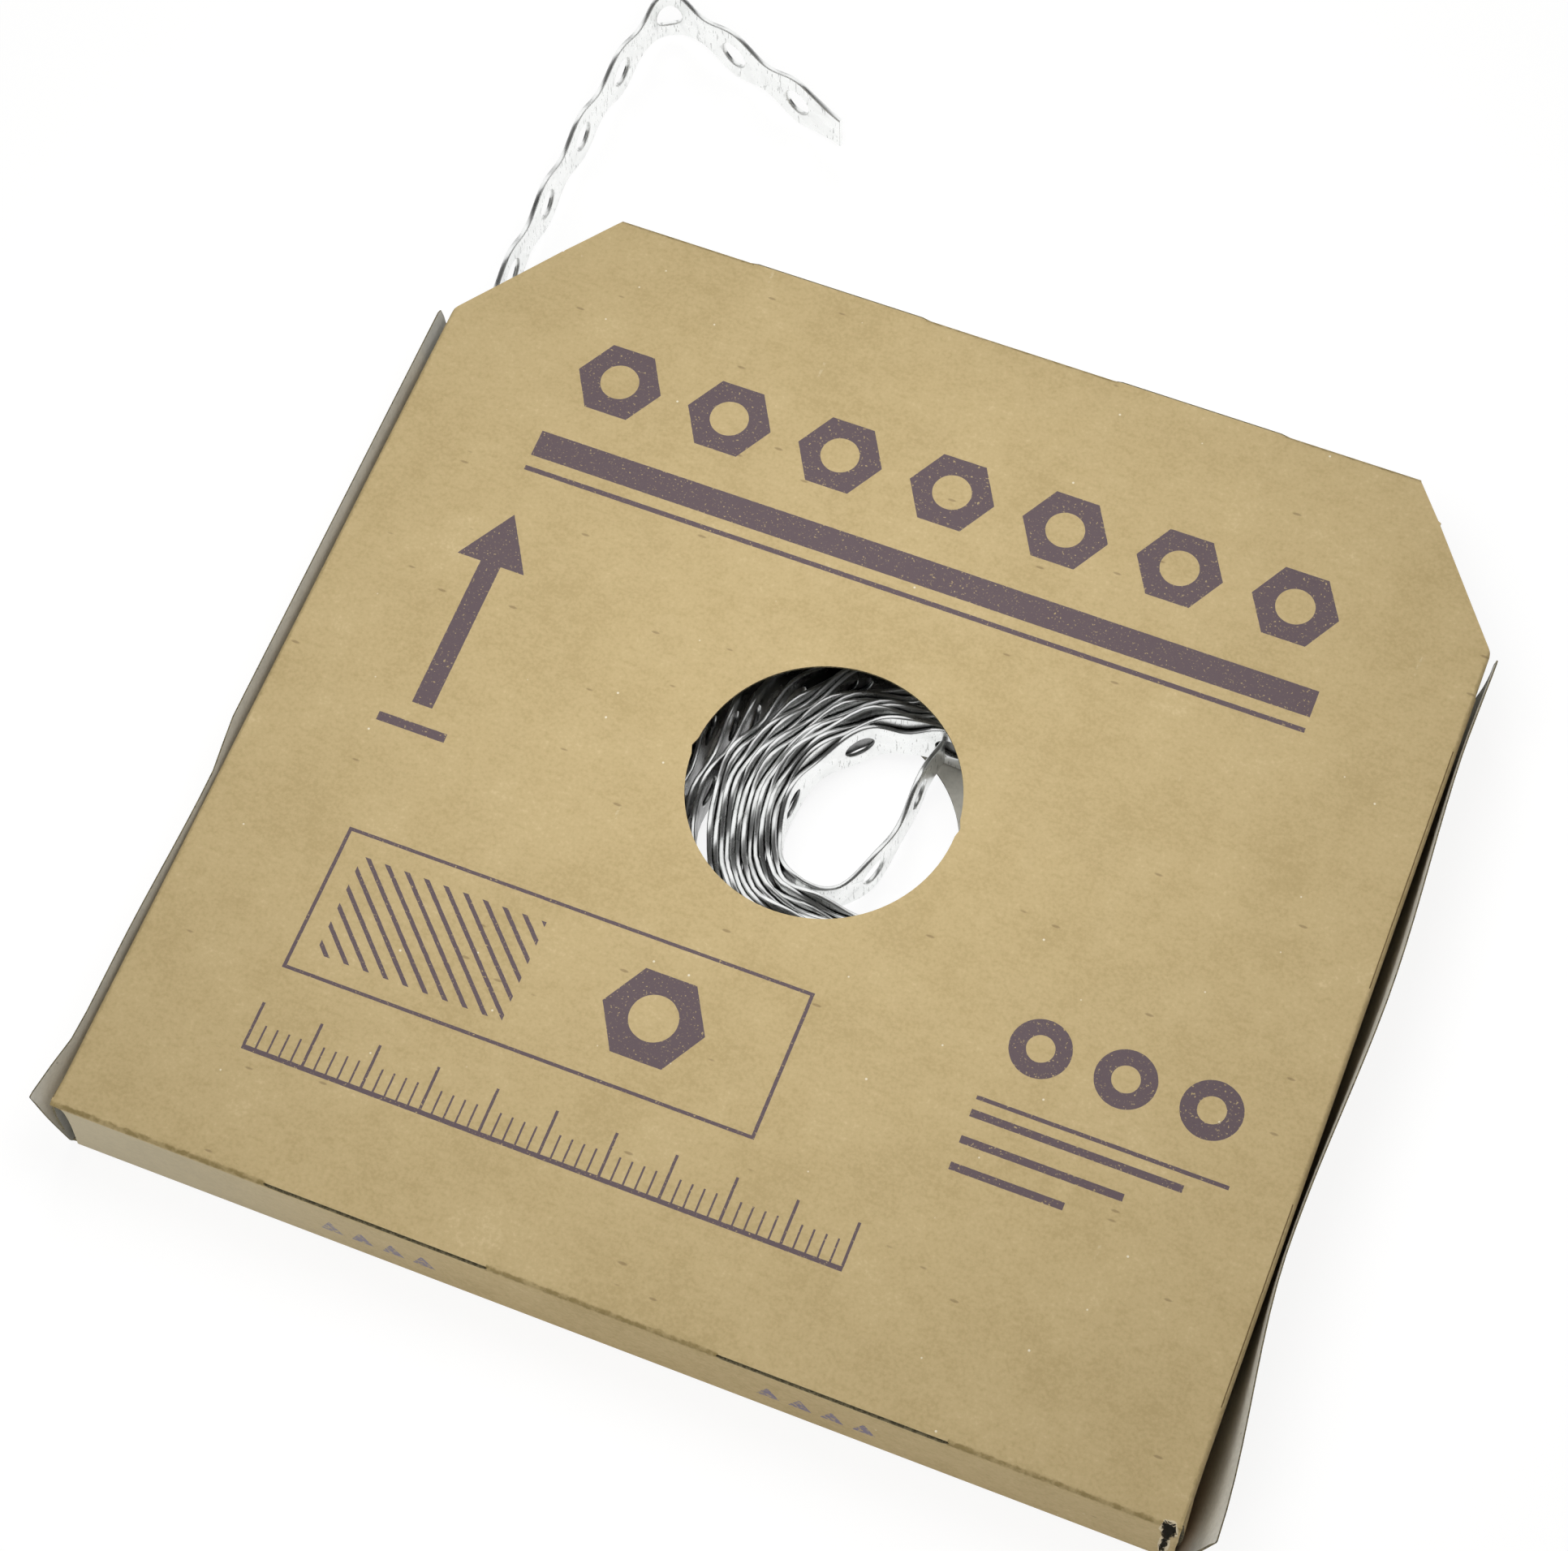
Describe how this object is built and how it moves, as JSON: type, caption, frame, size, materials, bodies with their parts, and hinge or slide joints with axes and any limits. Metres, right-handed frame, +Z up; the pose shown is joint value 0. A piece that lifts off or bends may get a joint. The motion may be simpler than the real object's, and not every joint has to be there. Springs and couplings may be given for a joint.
{
  "type": "perforated steel strap in a dispenser carton",
  "caption": "Galvanised perforated steel strap with wavy edges, coiled loose in a flat kraft dispenser carton with a round window, its end drawn out of a cut corner and bent over.",
  "frame": {"origin": "middle of the ground that the object covers, under the carton's back panel", "axes": "+Z up out of the carton's front panel, +Y up its face towards the cut corners, +X along its bottom edge to the right"},
  "size_m": [0.1942, 0.2338, 0.0175],
  "materials": {
    "kraft_board": "uncoated brown kraft board with a grey inside, worn a little at its folds",
    "galvanised_steel": "zinc coated strip with fine speckle and scratches across it"
  },
  "bodies": {
    "root": {"carton": "kraft_board", "strap": "galvanised_steel"}
  },
  "joints": []
}
